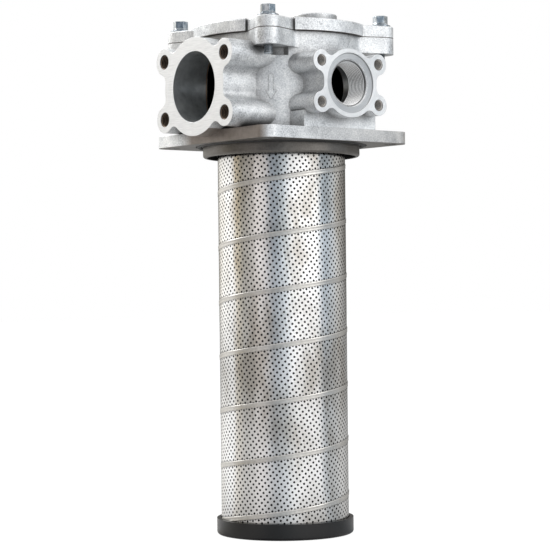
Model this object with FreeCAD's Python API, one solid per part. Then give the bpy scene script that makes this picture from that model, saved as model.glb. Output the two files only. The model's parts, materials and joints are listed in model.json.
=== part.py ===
"""Tank top return filter: aluminium head with two flanged ports, bolted cover, and a hanging filter element.

Millimetres. The origin is the centre of the mounting flange's underside, the face that lies on the tank.
+Z is up, the large inlet port looks along -X and the threaded side port along -Y.
Oil enters the head, runs down inside the element, and leaves through its perforated sleeve into the tank.
"""

import FreeCAD, Part
import math
import os

from FreeCAD import Vector

os.makedirs("parts", exist_ok=True)

# Head: mounting flange, collar and barrel
flange_land = 6.6
flange_corner_radius = 15.0
flange_thickness = 13.0
collar_wall = 4.4
collar_drop = 12.1
collar_lip_radius = 2.5
barrel_wall = 9.5
seat_ledge = 5.4
seat_height = 10.0
seat_thickness = 9.0

# Tank mounting: holes in the flange corners and the face seal around the collar
mount_hole_inset = 16.0
mount_hole_radius = 6.75
seal_groove_gap = 0.6
seal_groove_depth = 4.2
seal_groove_width = 7.4
tank_seal_section = 5.7

# Ears that carry the cover bolts
ear_nose_radius = 14.0
ear_flare_angle = 24.0
ear_thickness = 17.5
ear_root_radius = 11.0
ear_root_sink = 25.0
ear_relief_height = 8.2
ear_relief_wall = 5.0
ear_relief_pocket_radius = 28.0

# Ports: both faces stand at one reach and one height
port_standoff = 26.7
port_foot = 6.8
port_top_gap = 3.9
pad_root_sink = 1.0
tap_drill_tip_angle = 118.0

# Inlet port on -X: four bolt pad, 3 inch pattern
inlet_azimuth = -90.0
inlet_bore_radius = 37.4
inlet_land = 14.6
inlet_hole_spacing_y = 106.4
inlet_hole_spacing_z = 61.9
inlet_lobe_wall = 6.5
inlet_fillet_radius = 9.0
inlet_thread_radius = 8.0
inlet_thread_depth = 30.0

# Side port on -Y: threaded bore inside a four bolt pad, 2 inch pattern
side_azimuth = 0.0
side_thread_radius = 23.9
side_spotface_width = 7.6
side_spotface_depth = 1.5
side_land = 4.5
side_chamfer = 1.3
side_hole_spacing_x = 77.8
side_hole_spacing_z = 42.9
side_lobe_wall = 5.0
side_fillet_radius = 8.0
side_hole_radius = 6.0
side_hole_depth = 24.0

# Cast block under the side port
pedestal_inset = 0.9
pedestal_lap = 3.65

# Flow arrow cast on the barrel between the ports
arrow_azimuth = 225.0
arrow_length = 26.0
arrow_width = 11.0
arrow_shaft_width = 4.0
arrow_head_length = 9.0
arrow_relief = 0.8
arrow_middle = 56.0

# Cover
cover_overhang = 4.5
cover_thickness = 13.5
cover_edge_radius = 1.4
cover_ear_drop = 1.0
cover_window_azimuth = 225.0
cover_window_angle = 16.0
cover_window_step = 1.5
cover_spigot_depth = 9.0
cover_spigot_wall = 8.0
cover_fit_clearance = 0.25
boss_radius = 23.5
boss_height = 7.6
boss_inset = 35.0
boss_edge_radius = 1.5
cover_seal_gland = 3.3
cover_seal_squeeze = 0.1
cover_gland_floor = 2.2
cover_gland_roof = 1.6

# Cover bolts: M10 flange head
bolt_radius = 5.0
bolt_clearance = 0.5
bolt_thread_clearance = 0.05
bolt_flange_gap = 3.45
bolt_across_flats = 14.0
bolt_head_height = 11.8
bolt_flange_radius = 11.15
bolt_flange_thickness = 1.4
bolt_flange_cone = 2.8
bolt_cone_inset = 0.6
bolt_head_chamfer = 1.4
bolt_tip_below_ear = 9.4
bolt_tip_chamfer = 1.2

# Filter element
sleeve_radius = 69.5
sleeve_wall = 1.0
seam_pitch = 59.5
seam_width = 6.8
seam_relief = 0.9
seam_bevel = 0.7
seam_end_gap = 0.3
seam_angle = 231.6
seam_height_at_angle = -38.6
element_bottom = -421.1
bottom_cap_fit = 0.8
bottom_cap_height = 17.4
bottom_cap_wall = 4.2
bottom_cap_floor = 11.0
bottom_cap_edge_radius = 3.0
bottom_cap_rib = 4.0
top_cap_margin = 1.4
top_cap_thickness = 4.0
top_cap_cup_depth = 9.0
element_passage_clearance = 1.1
top_cap_fit = 0.3
top_seal_groove_height = 3.6
top_seal_section = 3.0
top_seal_squeeze = 0.04
core_radius = 36.0
core_wall = 1.5
core_hole_radius = 8.0
core_rows = 7
core_holes_per_row = 4
media_gap = 1.2
pleat_count = 48
pleat_fold_depth = 8.0

# Bypass valve in the bottom cap: a poppet that opens downwards against a spring
valve_bore_radius = 17.0
valve_recess_gap = 4.0
valve_recess_depth = 9.0
poppet_lap = 4.0
poppet_thickness = 3.0
poppet_seal_thickness = 1.5
poppet_seal_inset = 2.0
poppet_seal_margin = 0.5
stem_radius = 3.0
stem_clearance = 0.06
guide_thickness = 4.0
guide_hub_radius = 9.0
guide_hub_height = 12.0
guide_arm_width = 7.0
guide_arm_count = 3
guide_arm_inset = 3.0
guide_rim_margin = 1.0
spring_wire = 2.6
spring_hub_gap = 2.7
spring_turns = 4.5
spring_height = 34.0
retainer_margin = 2.2
retainer_thickness = 2.5
nut_across_flats = 10.0
nut_height = 5.0
stem_end = 3.0

# Lifting bail of the element
handle_wire = 3.0
handle_inset = 17.5
handle_bend_radius = 5.0
handle_end_gap = 0.2
handle_rise = 9.0

# Sizes that follow from the ones above, from the element outwards
quarters = (45.0, 135.0, 225.0, 315.0)
bottom_cap_radius = sleeve_radius + bottom_cap_fit + bottom_cap_wall
passage_radius = bottom_cap_radius + element_passage_clearance
chamber_radius = passage_radius + seat_ledge
barrel_radius = chamber_radius + barrel_wall
collar_radius = chamber_radius + collar_wall
seal_groove_inner = collar_radius + seal_groove_gap
flange_half = seal_groove_inner + seal_groove_width + flange_land
mount_spacing = 2.0 * (flange_half - mount_hole_inset)
cover_radius = barrel_radius + cover_overhang
boss_offset = cover_radius - boss_inset
bolt_circle_radius = cover_radius + bolt_flange_radius + bolt_flange_gap
bolt_hole_radius = bolt_radius + bolt_clearance
bolt_thread_hole_radius = bolt_radius + bolt_thread_clearance

inlet_disc_radius = inlet_bore_radius + inlet_land
inlet_lobe_radius = inlet_thread_radius + inlet_lobe_wall
side_spotface_radius = side_thread_radius + side_spotface_width
side_disc_radius = side_spotface_radius + side_land
side_lobe_radius = side_hole_radius + side_lobe_wall
port_reach = barrel_radius + port_standoff
port_height = inlet_disc_radius + port_foot
pedestal_half_width = side_hole_spacing_x / 2.0 + side_lobe_radius - pedestal_inset
pedestal_height = port_height - side_hole_spacing_z / 2.0 - side_lobe_radius + pedestal_lap

split_height = port_height + inlet_disc_radius + port_top_gap
ear_bottom = split_height - ear_thickness
barrel_top = ear_bottom - ear_relief_height
cover_top = split_height + cover_thickness
bolt_seat = cover_top - cover_ear_drop

bottom_cap_top = element_bottom + bottom_cap_height
valve_seat_level = element_bottom + valve_recess_depth
cap_floor_level = element_bottom + bottom_cap_floor
top_cap_radius = chamber_radius - top_cap_margin
top_cap_opening_radius = core_radius - core_wall
top_cap_skirt_radius = passage_radius - top_cap_fit
top_cap_skirt_bottom = seat_height - top_cap_cup_depth
handle_reach = sleeve_radius - handle_inset
poppet_radius = valve_bore_radius + poppet_lap
poppet_seal_inner_radius = valve_bore_radius - poppet_seal_inset
valve_recess_radius = poppet_radius + valve_recess_gap
spring_coil_radius = guide_hub_radius + spring_hub_gap + spring_wire / 2.0
retainer_radius = spring_coil_radius + spring_wire / 2.0 + retainer_margin
spring_bottom = cap_floor_level + guide_thickness
spring_top = spring_bottom + spring_height


def cylinder(radius, low, high, x=0.0, y=0.0):
    return Part.makeCylinder(radius, high - low, Vector(x, y, low))


def ring(outer, inner, low, high):
    return cylinder(outer, low, high).cut(cylinder(inner, low - 1.0, high + 1.0))


def polar(radius, degrees, z=0.0):
    a = math.radians(degrees)
    return Vector(radius * math.cos(a), radius * math.sin(a), z)


def prism(wire, height):
    return Part.Face(wire).extrude(height)


def revolve_profile(points):
    """Turns a closed outline of (radius, height) points about the Z axis."""
    corners = [Vector(r, 0, z) for r, z in points]
    face = Part.Face(Part.makePolygon(corners + corners[:1]))
    return face.revolve(Vector(0, 0, 0), Vector(0, 0, 1), 360)


def o_ring(radius, section, z):
    return Part.makeTorus(radius, section / 2.0, Vector(0, 0, z), Vector(0, 0, 1))


def hexagon(across_flats, low, high):
    corner = across_flats / math.sqrt(3.0)
    points = [polar(corner, 60.0 * k, low) for k in range(7)]
    return prism(Part.makePolygon(points), Vector(0, 0, high - low))


def helical_wire(coil_radius, wire, turns, low, high):
    """A spring of square wire between two levels, wire included."""
    rise = high - low - wire
    helix = Part.makeHelix(rise / turns, rise, coil_radius)
    half = wire / 2.0
    corners = [(-half, -half), (half, -half), (half, half), (-half, half)]
    points = [Vector(coil_radius + a, 0, b) for a, b in corners]
    profile = Part.makePolygon(points + points[:1])
    coil = Part.Wire(helix).makePipeShell([profile], True, True)
    coil.translate(Vector(0, 0, low + half))
    return coil


def lobed_outline(disc_radius, lobe_radius, fillet_radius, half_u, half_v):
    """Outline of a four bolt pad in its own plane: a disc, four lobes, and concave fillets between them.

    Each fillet is a circle that touches the disc and the lobe from outside.
    """
    reach = math.hypot(half_u, half_v)
    fillet_reach = disc_radius + fillet_radius
    lobe_to_fillet = lobe_radius + fillet_radius
    cosine = (fillet_reach**2 + reach**2 - lobe_to_fillet**2) / (2.0 * fillet_reach * reach)
    swing = math.degrees(math.acos(cosine))
    lobe_angle = math.degrees(math.atan2(half_v, half_u))
    lobe_angles = [lobe_angle, 180.0 - lobe_angle, 180.0 + lobe_angle, -lobe_angle]
    edges = []
    previous_end = None
    first_start = None
    for angle in lobe_angles:
        lobe = polar(reach, angle)
        fillets = [polar(fillet_reach, angle - swing), polar(fillet_reach, angle + swing)]
        disc_touch = [polar(disc_radius, angle - swing), polar(disc_radius, angle + swing)]
        lobe_touch = [lobe + (f - lobe) * (lobe_radius / lobe_to_fillet) for f in fillets]
        if previous_end is not None:
            middle = (previous_end + disc_touch[0]).normalize() * disc_radius
            edges.append(Part.Arc(previous_end, middle, disc_touch[0]).toShape())
        else:
            first_start = disc_touch[0]
        inner = [f - (f - (d + t) * 0.5).normalize() * fillet_radius
                 for f, d, t in zip(fillets, disc_touch, lobe_touch)]
        edges.append(Part.Arc(disc_touch[0], inner[0], lobe_touch[0]).toShape())
        edges.append(Part.Arc(lobe_touch[0], polar(reach + lobe_radius, angle), lobe_touch[1]).toShape())
        edges.append(Part.Arc(lobe_touch[1], inner[1], disc_touch[1]).toShape())
        previous_end = disc_touch[1]
    middle = (previous_end + first_start).normalize() * disc_radius
    edges.append(Part.Arc(previous_end, middle, first_start).toShape())
    return Part.Wire(edges)


def on_port(shape, azimuth):
    """Stands a shape drawn in the XY plane on the port axis: Z of the sketch looks out along the port."""
    placed = shape.copy()
    placed.rotate(Vector(0, 0, 0), Vector(1, 0, 0), 90)
    placed.rotate(Vector(0, 0, 0), Vector(0, 0, 1), azimuth)
    placed.translate(Vector(0, 0, port_height))
    return placed


def port_pad(disc, lobe, fillet, half_u, half_v, azimuth):
    """A pad from the port face back into the barrel, deep enough for its lobes to end inside the barrel."""
    half_width = half_u + lobe
    root = math.sqrt(max(barrel_radius**2 - half_width**2, 0.0)) - pad_root_sink
    depth = port_reach - root
    outline = lobed_outline(disc, lobe, fillet, half_u, half_v)
    outline.translate(Vector(0, 0, port_reach - depth))
    return on_port(prism(outline, Vector(0, 0, depth)), azimuth)


def port_cylinder(radius, inner, outer, azimuth, u=0.0, v=0.0):
    return on_port(cylinder(radius, inner, outer, u, v), azimuth)


def tapped_hole(radius, depth, azimuth, u, v):
    """A blind hole from the port face, with the drill's cone at its end."""
    tip = radius / math.tan(math.radians(tap_drill_tip_angle / 2.0))
    bottom = port_reach - depth
    cone = Part.makeCone(0, radius, tip, Vector(u, v, bottom - tip))
    return on_port(cylinder(radius, bottom, port_reach + 1.0, u, v).fuse(cone), azimuth)


def ear_outline(reach_in):
    """Round nose at the bolt, with sides that flare back into the body."""
    flare = math.radians(ear_flare_angle)
    touch_x = bolt_circle_radius + ear_nose_radius * math.sin(flare)
    touch_y = ear_nose_radius * math.cos(flare)
    root_y = touch_y + (touch_x - reach_in) * math.tan(flare)
    nose = Vector(bolt_circle_radius + ear_nose_radius, 0, 0)
    right = Vector(touch_x, -touch_y, 0)
    left = Vector(touch_x, touch_y, 0)
    edges = [
        Part.Arc(right, nose, left).toShape(),
        Part.makeLine(left, Vector(reach_in, root_y, 0)),
        Part.makeLine(Vector(reach_in, root_y, 0), Vector(reach_in, -root_y, 0)),
        Part.makeLine(Vector(reach_in, -root_y, 0), right),
    ]
    return Part.Wire(edges)


def plate_with_ears(radius, low, high):
    """A disc with the four bolt ears, and a concave fillet where each ear leaves the disc."""
    disc = cylinder(radius, low, high)
    shapes = []
    for angle in quarters:
        ear = prism(ear_outline(radius - ear_root_sink), Vector(0, 0, high - low))
        ear.translate(Vector(0, 0, low))
        ear.rotate(Vector(0, 0, 0), Vector(0, 0, 1), angle)
        shapes.append(ear)
    plate = disc.multiFuse(shapes).removeSplitter()
    roots = [e for e in plate.Edges if abs(e.BoundBox.ZLength - (high - low)) < 0.01
             and abs(math.hypot(e.CenterOfMass.x, e.CenterOfMass.y) - radius) < 0.5 and not e.Closed]
    return plate.makeFillet(ear_root_radius, roots)


def holes_at_bolts(radius, low, high):
    centres = [polar(bolt_circle_radius, a) for a in quarters]
    return [cylinder(radius, low, high, c.x, c.y) for c in centres]


def rounded_square(half, radius, low, high):
    plate = Part.makeBox(2 * half, 2 * half, high - low, Vector(-half, -half, low))
    upright = [e for e in plate.Edges if abs(e.tangentAt(e.FirstParameter).z) > 0.9]
    return plate.makeFillet(radius, upright)


def flow_arrow():
    """A raised arrow on the barrel, pointing down the oil's way into the element."""
    half = arrow_width / 2.0
    shaft = arrow_shaft_width / 2.0
    head = arrow_head_length
    points = [(0, 0), (half, head), (shaft, head), (shaft, arrow_length),
              (-shaft, arrow_length), (-shaft, head), (-half, head)]
    corners = [Vector(0, u, v) for u, v in points]
    solid = prism(Part.makePolygon(corners + corners[:1]), Vector(barrel_radius + arrow_relief, 0, 0))
    solid.translate(Vector(0, 0, arrow_middle - arrow_length / 2.0))
    band = ring(barrel_radius + arrow_relief, barrel_radius - 1.0, 0, barrel_top)
    arrow = solid.common(band)
    arrow.rotate(Vector(0, 0, 0), Vector(0, 0, 1), arrow_azimuth)
    return arrow


def head_casting():
    body = rounded_square(flange_half, flange_corner_radius, 0, flange_thickness)
    lip = collar_lip_radius
    collar = cylinder(collar_radius, -collar_drop, 1.0)
    bottom = [e for e in collar.Edges if abs(e.CenterOfMass.z + collar_drop) < 0.01 and e.Closed]
    collar = collar.makeFillet(lip, bottom)
    solids = [collar, cylinder(barrel_radius, 0, split_height)]
    solids.append(plate_with_ears(barrel_radius, ear_bottom, split_height))
    solids.append(port_pad(inlet_disc_radius, inlet_lobe_radius, inlet_fillet_radius,
                           inlet_hole_spacing_y / 2, inlet_hole_spacing_z / 2, inlet_azimuth))
    solids.append(port_pad(side_disc_radius, side_lobe_radius, side_fillet_radius,
                           side_hole_spacing_x / 2, side_hole_spacing_z / 2, side_azimuth))
    pedestal = Part.makeBox(2 * pedestal_half_width, flange_half - chamber_radius / 2.0, pedestal_height,
                            Vector(-pedestal_half_width, -flange_half, 0))
    solids.append(pedestal)
    solids.append(flow_arrow())
    body = body.multiFuse(solids)
    cuts = [cylinder(chamber_radius, seat_height, split_height + 1.0)]
    cuts.append(cylinder(passage_radius, -collar_drop - 1.0, seat_height + 1.0))
    cuts.append(cylinder(collar_radius - collar_wall, -collar_drop - 1.0, seat_height - seat_thickness))
    cuts.append(ring(seal_groove_inner + seal_groove_width, seal_groove_inner, -1.0, seal_groove_depth))
    for angle in quarters:
        relief = ring(cover_radius, chamber_radius + ear_relief_wall, barrel_top, ear_bottom)
        bolt = polar(bolt_circle_radius, angle)
        pocket = cylinder(ear_relief_pocket_radius, barrel_top, split_height, bolt.x, bolt.y)
        cuts.append(relief.common(pocket))
    cuts.append(port_cylinder(inlet_bore_radius, 0, port_reach + 1.0, inlet_azimuth))
    cuts.append(port_cylinder(side_thread_radius, 0, port_reach + 1.0, side_azimuth))
    spotface = port_reach - side_spotface_depth
    cuts.append(port_cylinder(side_spotface_radius, spotface, port_reach + 1.0, side_azimuth))
    cone = Part.makeCone(side_thread_radius, side_thread_radius + side_chamfer, side_chamfer,
                         Vector(0, 0, spotface - side_chamfer))
    cuts.append(on_port(cone, side_azimuth))
    for su in (-1, 1):
        for sv in (-1, 1):
            cuts.append(tapped_hole(inlet_thread_radius, inlet_thread_depth, inlet_azimuth,
                                    su * inlet_hole_spacing_y / 2, sv * inlet_hole_spacing_z / 2))
            cuts.append(tapped_hole(side_hole_radius, side_hole_depth, side_azimuth,
                                    su * side_hole_spacing_x / 2, sv * side_hole_spacing_z / 2))
            cuts.append(cylinder(mount_hole_radius, -1.0, flange_thickness + 1.0,
                                 su * mount_spacing / 2, sv * mount_spacing / 2))
    cuts += holes_at_bolts(bolt_thread_hole_radius, ear_bottom - 1.0, split_height + 1.0)
    return body.cut(Part.makeCompound(cuts)).removeSplitter()


def cover():
    plate = plate_with_ears(barrel_radius, split_height, bolt_seat)
    upper = [e for e in plate.Edges if abs(e.CenterOfMass.z - bolt_seat) < 0.01]
    plate = plate.makeFillet(cover_edge_radius, upper)
    disc = cylinder(cover_radius, split_height, cover_top)
    rim = [e for e in disc.Edges if abs(e.CenterOfMass.z - cover_top) < 0.01 and e.Closed]
    disc = disc.makeFillet(cover_edge_radius, rim)
    below = split_height - 1.0
    rim_band = ring(cover_radius + 1.0, barrel_radius - cover_window_step, below, cover_top + 1.0)
    corners = [Vector(0, 0, below)]
    corners += [polar(2.0 * cover_radius, cover_window_azimuth + side * cover_window_angle, below)
                for side in (-1, 1)]
    wedge = prism(Part.makePolygon(corners + corners[:1]), Vector(0, 0, cover_thickness + 2.0))
    disc = disc.cut(rim_band.common(wedge))
    boss = cylinder(boss_radius, cover_top - 1.0, cover_top + boss_height, 0.0, -boss_offset)
    rim = [e for e in boss.Edges if abs(e.CenterOfMass.z - cover_top - boss_height) < 0.01 and e.Closed]
    boss = boss.makeFillet(boss_edge_radius, rim)
    spigot_radius = chamber_radius - cover_fit_clearance
    spigot_bottom = split_height - cover_spigot_depth
    spigot = ring(spigot_radius, spigot_radius - cover_spigot_wall, spigot_bottom, split_height + 1.0)
    body = plate.multiFuse([disc, boss, spigot])
    gland = ring(spigot_radius + 1.0, chamber_radius - cover_seal_gland,
                 spigot_bottom + cover_gland_floor, split_height - cover_gland_roof)
    cuts = [gland] + holes_at_bolts(bolt_hole_radius, split_height - 1.0, cover_top + 1.0)
    return body.cut(Part.makeCompound(cuts)).removeSplitter()


def cover_seal():
    middle = split_height - (cover_spigot_depth - cover_gland_floor + cover_gland_roof) / 2.0
    radius = chamber_radius - cover_seal_gland / 2.0
    section = cover_seal_gland - cover_seal_squeeze
    return o_ring(radius, section, middle)


def cover_bolt():
    """One M10 flange head bolt, standing on the cover's ear."""
    base = bolt_seat
    top = base + bolt_head_height
    washer_top = base + bolt_flange_thickness
    flange = cylinder(bolt_flange_radius, base, washer_top)
    inner = bolt_across_flats / 2.0 - bolt_cone_inset
    outer = bolt_flange_radius - bolt_cone_inset
    cone = Part.makeCone(outer, inner, bolt_flange_cone, Vector(0, 0, washer_top))
    corner = bolt_across_flats / math.sqrt(3.0)
    rounding = Part.makeCone(corner + bolt_head_height, corner - bolt_head_chamfer,
                             bolt_head_height + bolt_head_chamfer, Vector(0, 0, base))
    head = hexagon(bolt_across_flats, base, top).common(rounding)
    tip = ear_bottom - bolt_tip_below_ear
    shank = cylinder(bolt_radius, tip + bolt_tip_chamfer, base + 1.0)
    point = Part.makeCone(bolt_radius - bolt_tip_chamfer, bolt_radius, bolt_tip_chamfer, Vector(0, 0, tip))
    return flange.multiFuse([cone, head, shank, point]).removeSplitter()


def cover_bolts():
    one = cover_bolt()
    shapes = []
    for angle in quarters:
        bolt = one.copy()
        bolt.translate(Vector(bolt_circle_radius, 0, 0))
        bolt.rotate(Vector(0, 0, 0), Vector(0, 0, 1), angle)
        shapes.append(bolt)
    return Part.makeCompound(shapes)


def tank_seal():
    radius = seal_groove_inner + seal_groove_width / 2.0
    return o_ring(radius, tank_seal_section, seal_groove_depth - tank_seal_section / 2.0)


def seam_ridge(low, high):
    """The lock seam: a raised band that winds up the sleeve as a right hand helix."""
    half = seam_width / 2.0
    inner = sleeve_radius - sleeve_wall / 2.0
    outer = sleeve_radius + seam_relief
    start = seam_height_at_angle - seam_pitch * math.ceil((seam_height_at_angle - low) / seam_pitch)
    turns = math.ceil((high - start) / seam_pitch) + 1
    helix = Part.makeHelix(seam_pitch, seam_pitch * turns, sleeve_radius)
    flat = half - seam_bevel
    corners = ((inner, -half), (outer, -flat), (outer, flat), (inner, half))
    points = [Vector(r, 0, z) for r, z in corners]
    profile = Part.makePolygon(points + points[:1])
    band = Part.Wire(helix).makePipeShell([profile], True, True)
    band.rotate(Vector(0, 0, 0), Vector(0, 0, 1), seam_angle)
    band.translate(Vector(0, 0, start))
    return band.common(ring(outer + 5.0, inner - 5.0, low, high))


def outer_sleeve():
    tube = ring(sleeve_radius, sleeve_radius - sleeve_wall, cap_floor_level, seat_height)
    return tube.fuse(seam_ridge(bottom_cap_top + seam_end_gap, top_cap_skirt_bottom - seam_end_gap))


def element_top_cap():
    """Flanged ring that hangs on the head's ledge, with a skirt that carries the element's seal."""
    flange = ring(top_cap_radius, top_cap_opening_radius, seat_height, seat_height + top_cap_thickness)
    skirt = ring(top_cap_skirt_radius, sleeve_radius, top_cap_skirt_bottom, seat_height + 1.0)
    middle = (top_cap_skirt_bottom + seat_height) / 2.0
    half = top_seal_groove_height / 2.0
    groove = ring(passage_radius + 1.0, passage_radius - top_seal_section, middle - half, middle + half)
    cap = flange.fuse(skirt).cut(groove)
    for side in (-1, 1):
        cap = cap.cut(cylinder(handle_wire / 2.0, 0.0, cover_top, 0, side * handle_reach))
    return cap.removeSplitter()


def element_seal():
    middle = (top_cap_skirt_bottom + seat_height) / 2.0
    return o_ring(passage_radius - top_seal_section / 2.0, top_seal_section - top_seal_squeeze, middle)


def element_handle():
    """A wire bail whose ends pass through the top cap and which stays below the ports."""
    r = handle_wire / 2.0
    bottom = seat_height + handle_end_gap
    crown = seat_height + top_cap_thickness + handle_rise
    bend = handle_bend_radius
    reach = handle_reach
    left = Vector(0, -reach, bottom)
    right = Vector(0, reach, bottom)
    a1 = Vector(0, -reach, crown - bend)
    a3 = Vector(0, -reach + bend, crown)
    b1 = Vector(0, reach - bend, crown)
    b3 = Vector(0, reach, crown - bend)
    k = bend * (1.0 - math.sqrt(0.5))
    wire = Part.Wire([
        Part.makeLine(left, a1),
        Part.Arc(a1, Vector(0, -reach + k, crown - k), a3).toShape(),
        Part.makeLine(a3, b1),
        Part.Arc(b1, Vector(0, reach - k, crown - k), b3).toShape(),
        Part.makeLine(b3, right),
    ])
    circle = Part.Wire(Part.makeCircle(r, left, Vector(0, 0, 1)))
    return wire.makePipeShell([circle], True, True)


def pleated_media():
    outer = sleeve_radius - sleeve_wall - media_gap
    inner = core_radius + media_gap
    half = 180.0 / pleat_count
    low = cap_floor_level
    faces = []
    for tip, valley in ((outer, inner + pleat_fold_depth), (outer - pleat_fold_depth, inner)):
        points = [polar(tip if k % 2 == 0 else valley, half * k, low) for k in range(2 * pleat_count)]
        faces.append(Part.Face(Part.makePolygon(points + points[:1])))
    rise = Vector(0, 0, seat_height - low)
    return faces[0].extrude(rise).cut(faces[1].extrude(rise))


def inner_core():
    tube = ring(core_radius, core_radius - core_wall, cap_floor_level, seat_height)
    holes = []
    step = (seat_height - cap_floor_level) / core_rows
    for row in range(core_rows):
        z = cap_floor_level + step * (row + 0.5)
        for k in range(core_holes_per_row // 2):
            angle = 180.0 * (2 * k + row % 2) / core_holes_per_row
            start = polar(2.0 * core_radius, angle + 180.0, z)
            holes.append(Part.makeCylinder(core_hole_radius, 4.0 * core_radius, start, polar(1.0, angle)))
    return tube.cut(Part.makeCompound(holes))


def bottom_cap():
    cap = cylinder(bottom_cap_radius, element_bottom, bottom_cap_top)
    edge = [e for e in cap.Edges if e.Closed and abs(e.CenterOfMass.z - element_bottom) < 0.01]
    cap = cap.makeFillet(bottom_cap_edge_radius, edge)
    inner = bottom_cap_radius - bottom_cap_wall
    cuts = [
        cylinder(inner, cap_floor_level, bottom_cap_top + 1.0),
        cylinder(valve_bore_radius, element_bottom - 1.0, cap_floor_level + 1.0),
        cylinder(valve_recess_radius, element_bottom - 1.0, valve_seat_level),
        ring(inner - bottom_cap_edge_radius, valve_recess_radius + bottom_cap_rib,
             element_bottom - 1.0, cap_floor_level - bottom_cap_rib),
    ]
    return cap.cut(Part.makeCompound(cuts))


def bypass_guide():
    """A spider on the cap's floor: three arms carry the hub that guides the poppet's stem."""
    low = cap_floor_level
    rim = ring(valve_recess_radius, valve_bore_radius + guide_rim_margin, low, low + guide_thickness)
    hub = cylinder(guide_hub_radius, low, low + guide_hub_height)
    arms = []
    for k in range(guide_arm_count):
        arm = Part.makeBox(valve_recess_radius - guide_arm_inset, guide_arm_width, guide_thickness,
                           Vector(0, -guide_arm_width / 2.0, low))
        arm.rotate(Vector(0, 0, 0), Vector(0, 0, 1), 360.0 * k / guide_arm_count)
        arms.append(arm)
    bore = cylinder(stem_radius + stem_clearance, low - 1.0, low + guide_hub_height + 1.0)
    return rim.multiFuse([hub] + arms).cut(bore).removeSplitter()


def bypass_poppet():
    top = valve_seat_level - poppet_seal_thickness
    disc = cylinder(poppet_radius, top - poppet_thickness, top)
    stem = cylinder(stem_radius, top - 1.0, spring_top + retainer_thickness + nut_height + stem_end)
    return disc.fuse(stem)


def bypass_poppet_seal():
    low = valve_seat_level - poppet_seal_thickness
    return ring(poppet_radius - poppet_seal_margin, poppet_seal_inner_radius, low, valve_seat_level)


def bypass_spring():
    return helical_wire(spring_coil_radius, spring_wire, spring_turns, spring_bottom, spring_top)


def spring_retainer():
    return ring(retainer_radius, stem_radius, spring_top, spring_top + retainer_thickness)


def retainer_nut():
    low = spring_top + retainer_thickness
    bore = cylinder(stem_radius, low - 1.0, low + nut_height + 1.0)
    return hexagon(nut_across_flats, low, low + nut_height).cut(bore)


PARTS = {
    "head_casting": head_casting,
    "cover": cover,
    "cover_bolts": cover_bolts,
    "cover_seal": cover_seal,
    "tank_seal": tank_seal,
    "element_top_cap": element_top_cap,
    "element_seal": element_seal,
    "element_handle": element_handle,
    "outer_sleeve": outer_sleeve,
    "pleated_media": pleated_media,
    "inner_core": inner_core,
    "bottom_cap": bottom_cap,
    "bypass_guide": bypass_guide,
    "bypass_poppet": bypass_poppet,
    "bypass_poppet_seal": bypass_poppet_seal,
    "bypass_spring": bypass_spring,
    "spring_retainer": spring_retainer,
    "retainer_nut": retainer_nut,
}

if __name__ == "__main__":
    for name, make in PARTS.items():
        make().exportStep("parts/" + name + ".step")
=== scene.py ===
import json
import math

import bmesh
import bpy
from mathutils import Matrix, Vector


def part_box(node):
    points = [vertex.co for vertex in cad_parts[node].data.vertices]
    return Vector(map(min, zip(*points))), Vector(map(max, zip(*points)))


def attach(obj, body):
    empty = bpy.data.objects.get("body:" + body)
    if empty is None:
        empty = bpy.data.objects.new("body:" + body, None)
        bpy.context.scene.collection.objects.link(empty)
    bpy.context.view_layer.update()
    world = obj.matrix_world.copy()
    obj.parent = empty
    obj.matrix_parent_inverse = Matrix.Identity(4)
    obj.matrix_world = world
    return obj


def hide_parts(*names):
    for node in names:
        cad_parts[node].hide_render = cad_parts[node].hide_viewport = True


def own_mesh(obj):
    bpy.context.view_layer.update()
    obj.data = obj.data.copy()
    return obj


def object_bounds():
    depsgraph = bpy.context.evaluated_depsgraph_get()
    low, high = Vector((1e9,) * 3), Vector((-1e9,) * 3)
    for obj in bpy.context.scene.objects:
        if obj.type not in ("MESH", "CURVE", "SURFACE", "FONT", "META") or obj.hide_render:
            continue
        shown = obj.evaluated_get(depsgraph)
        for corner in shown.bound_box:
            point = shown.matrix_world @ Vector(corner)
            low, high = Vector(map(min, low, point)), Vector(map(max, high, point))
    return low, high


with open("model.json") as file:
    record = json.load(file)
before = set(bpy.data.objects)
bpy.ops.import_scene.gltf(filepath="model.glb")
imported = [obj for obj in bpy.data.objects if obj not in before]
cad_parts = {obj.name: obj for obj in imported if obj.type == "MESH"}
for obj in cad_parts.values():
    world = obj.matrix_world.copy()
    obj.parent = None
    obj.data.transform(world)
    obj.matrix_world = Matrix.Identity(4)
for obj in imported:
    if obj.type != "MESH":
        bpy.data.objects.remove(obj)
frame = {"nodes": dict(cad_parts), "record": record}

cad_box = [list(corner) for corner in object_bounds()]
nodes = frame["nodes"]
mounts = {m["name"]: m for m in frame["record"]["mounts"]}
FILTER = "filter"
MM = 0.001
CUT_TOLERANCE = 1e-7
WELD = 1e-6

# Head, in metres: the two ports share one height and one reach
PORT_HEIGHT = mounts["inlet_bore"]["pos_m"][2]
PORT_REACH = -mounts["inlet_face"]["pos_m"][0]
INLET_BORE = mounts["inlet_bore"]["dims"]["r_mm"] * MM
SIDE_BORE = mounts["side_thread"]["dims"]["r_mm"] * MM
SPOTFACE_DEPTH = 1.5 * MM
BORE_DEPTH = 45.0 * MM
CHAMBER_RADIUS = 81.3 * MM
CHAMBER_TOP = 126.0 * MM
SPLIT_HEIGHT = 114.7 * MM
FLANGE_HALF = 100.0 * MM
FLANGE_TOP = 13.0 * MM

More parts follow.
